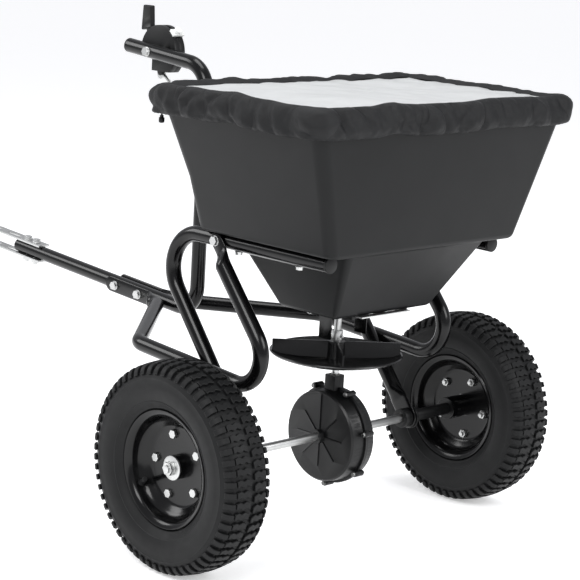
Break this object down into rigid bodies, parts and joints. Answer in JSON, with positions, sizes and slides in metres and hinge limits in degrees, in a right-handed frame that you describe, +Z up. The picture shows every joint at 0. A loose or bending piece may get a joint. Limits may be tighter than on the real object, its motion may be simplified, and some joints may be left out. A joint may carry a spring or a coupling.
{
  "type": "garden spreader",
  "caption": "Tow-behind garden spreader: covered hopper on a bent-tube frame, ground-driven impeller, gearbox, flow lever and slotted clevis hitch.",
  "frame": {"origin": "middle of the bounding box at ground level", "axes": "+X towards the hitch, +Y towards the left wheel, +Z up"},
  "size_m": [1.1694, 0.7504, 0.8199],
  "materials": {
    "powder_coat": "gloss black powder coat",
    "zinc": "bright zinc plate",
    "hopper_plastic": "satin charcoal moulded plastic",
    "black_plastic": "fine-textured black moulded plastic",
    "impeller_plastic": "semi-gloss black plastic",
    "tyre": "black rubber",
    "rim_paint": "gloss black paint",
    "nylon": "natural nylon",
    "gear_steel": "plain steel with grease",
    "cover_fabric": "matte black woven polyester, gathered",
    "cover_vinyl": "milky translucent vinyl",
    "stop_plastic": "pale grey plastic"
  },
  "bodies": {
    "frame": {"tongue_tube": "powder_coat", "frame_tube_left": "powder_coat", "frame_tube_right": "powder_coat", "hoop_tube_left": "powder_coat", "hoop_tube_right": "powder_coat", "control_post": "powder_coat", "shaft_bracket": "powder_coat", "hitch_strap_upper": "zinc", "hitch_strap_lower": "zinc", "frame_bolts": "zinc", "frame_nuts": "zinc", "lever_pivot_bolt": "zinc", "lever_pivot_nut": "zinc", "body_screws": "zinc", "gearbox_screws": "zinc", "hopper": "hopper_plastic", "tube_end_caps": "black_plastic", "control_box_inner": "black_plastic", "control_box_outer": "black_plastic", "gate_guides": "black_plastic", "gearbox_half_left": "black_plastic", "gearbox_half_right": "black_plastic", "axle_bush_left": "black_plastic", "axle_bush_right": "black_plastic", "cover_toggle": "black_plastic", "bush_rings": "black_plastic", "hopper_bush": "nylon", "gearbox_bush": "nylon", "cover_skirt": "cover_fabric", "cover_sheet": "cover_vinyl"},
    "drive_axle": {"axle": "zinc", "axle_washers": "zinc", "axle_nuts": "zinc", "axle_spacers": "black_plastic", "drive_pin": "zinc", "ring_gear": "gear_steel", "ring_gear_pin": "zinc", "tyre_left": "tyre", "rim_outer_left": "rim_paint", "rim_inner_left": "rim_paint", "rim_bolts_left": "zinc", "wheel_hub_left": "rim_paint", "hub_bushes_left": "black_plastic"},
    "free_wheel": {"tyre_right": "tyre", "rim_outer_right": "rim_paint", "rim_inner_right": "rim_paint", "rim_bolts_right": "zinc", "wheel_hub_right": "rim_paint", "hub_bushes_right": "black_plastic"},
    "impeller_drive": {"impeller_shaft": "zinc", "impeller": "impeller_plastic", "shaft_collar": "zinc", "collar_pin": "zinc", "agitator": "zinc", "pinion_gear": "gear_steel", "pinion_pin": "zinc"},
    "flow_lever": {"flow_lever": "black_plastic"},
    "flow_stop": {"flow_stop": "stop_plastic"},
    "flow_rod": {"flow_rod": "zinc"},
    "gate": {"gate_plate": "zinc"}
  },
  "joints": [
    {"name": "axle_spin", "type": "hinge", "parent": "frame", "child": "drive_axle", "pos_m": [-0.35913, 0, 0.165], "axis": [0, 1, 0], "continuous": true},
    {"name": "free_wheel_spin", "type": "hinge", "parent": "frame", "child": "free_wheel", "pos_m": [-0.35913, -0.33, 0.165], "axis": [0, 1, 0], "continuous": true},
    {"name": "impeller_spin", "type": "hinge", "parent": "frame", "child": "impeller_drive", "pos_m": [-0.35913, 0, 0.29], "axis": [0, 0, 1], "continuous": true},
    {"name": "flow_lever_turn", "type": "hinge", "parent": "frame", "child": "flow_lever", "pos_m": [0.12887, -0.0242, 0.7425], "axis": [0, -1, 0], "range_deg": [0, 60]},
    {"name": "flow_stop_turn", "type": "hinge", "parent": "frame", "child": "flow_stop", "pos_m": [0.12887, -0.0242, 0.7425], "axis": [0, -1, 0], "range_deg": [0, 20]},
    {"name": "flow_rod_slide", "type": "slide", "parent": "frame", "child": "flow_rod", "axis": [0.8095, 0, 0.5872], "range_m": [0, 0.0361]},
    {"name": "gate_slide", "type": "slide", "parent": "frame", "child": "gate", "axis": [1, 0, 0], "range_m": [0, 0.0292]}
  ],
  "couplings": [
    {"joint": "impeller_spin", "follows": "axle_spin", "ratio": -4},
    {"joint": "flow_rod_slide", "follows": "flow_lever_turn", "m_per_rad": 0.034377},
    {"joint": "gate_slide", "follows": "flow_lever_turn", "m_per_rad": 0.027828}
  ]
}
